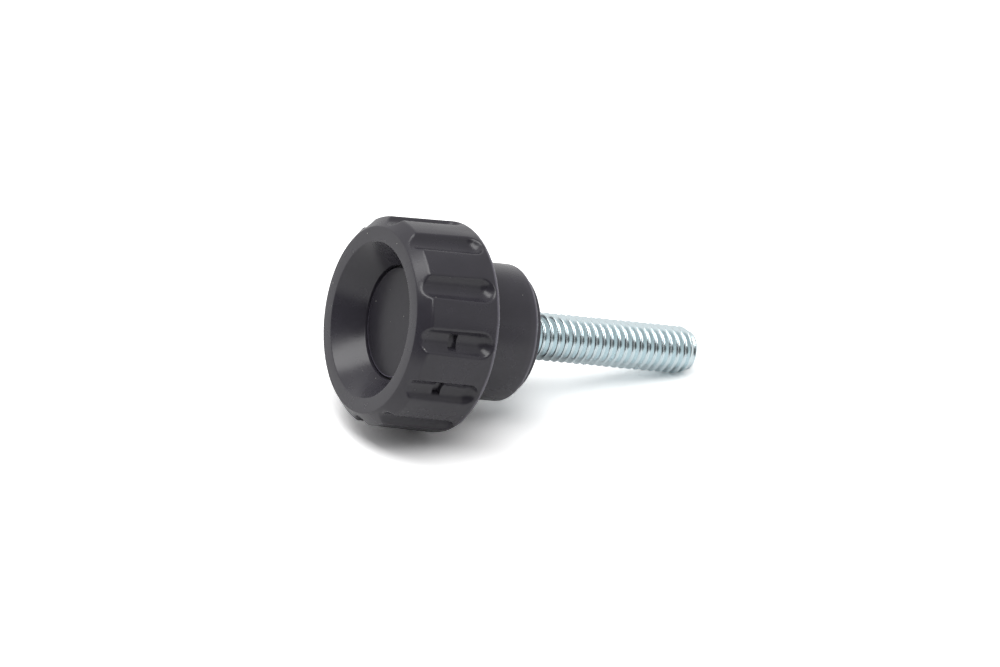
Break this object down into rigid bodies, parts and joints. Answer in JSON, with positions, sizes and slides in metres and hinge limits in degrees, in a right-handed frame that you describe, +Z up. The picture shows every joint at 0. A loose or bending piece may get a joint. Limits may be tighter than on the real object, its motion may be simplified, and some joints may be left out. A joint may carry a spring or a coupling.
{
  "type": "thumb screw",
  "caption": "Thumb screw: fluted round plastic knob with a dished front, disc cap and plain hub on a zinc-plated threaded stud, lying on its side.",
  "frame": {"origin": "bottom centre of the part's box as it lies on a table", "axes": "+Z up, +X from the knob towards the screw's tip along the table, +Y to the left of that"},
  "size_m": [0.062, 0.0336, 0.0354],
  "materials": {
    "knob_plastic": "moulded, satin, dark grey",
    "cap_plastic": "moulded, fine matte texture, dark grey",
    "zinc_steel": "bright zinc plate with a blue cast"
  },
  "bodies": {
    "root": {"knob": "knob_plastic", "cap": "cap_plastic", "threaded_stud": "zinc_steel"}
  },
  "joints": []
}
